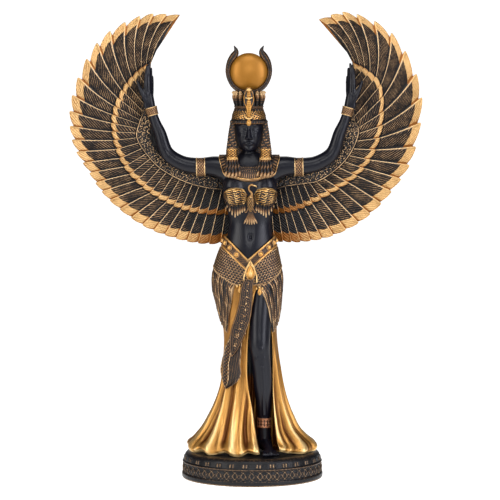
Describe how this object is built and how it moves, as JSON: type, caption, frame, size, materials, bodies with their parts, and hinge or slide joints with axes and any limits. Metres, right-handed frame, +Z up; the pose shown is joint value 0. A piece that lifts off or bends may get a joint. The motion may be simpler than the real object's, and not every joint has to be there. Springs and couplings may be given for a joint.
{
  "type": "winged isis figurine",
  "caption": "Standing winged goddess figurine with raised arms, horned disc headdress and spread wings on an oval plinth.",
  "frame": {"origin": "centre of the plinth's flat underside", "axes": "+Z up along the figure; the figure faces -Y, and +X is at the viewer's right"},
  "size_m": [0.3057, 0.108, 0.4064],
  "materials": {
    "figure_resin": "satin black cold-cast resin",
    "wing_resin": "black resin dry-brushed in bronze",
    "plinth_resin": "dark bronze-washed resin",
    "gold_paint": "satin gold paint with brown shading",
    "bronze_paint": "antique bronze paint over black"
  },
  "bodies": {
    "root": {"plinth": "plinth_resin", "figure": "figure_resin", "wing_left": "wing_resin", "wing_right": "wing_resin"}
  },
  "joints": []
}
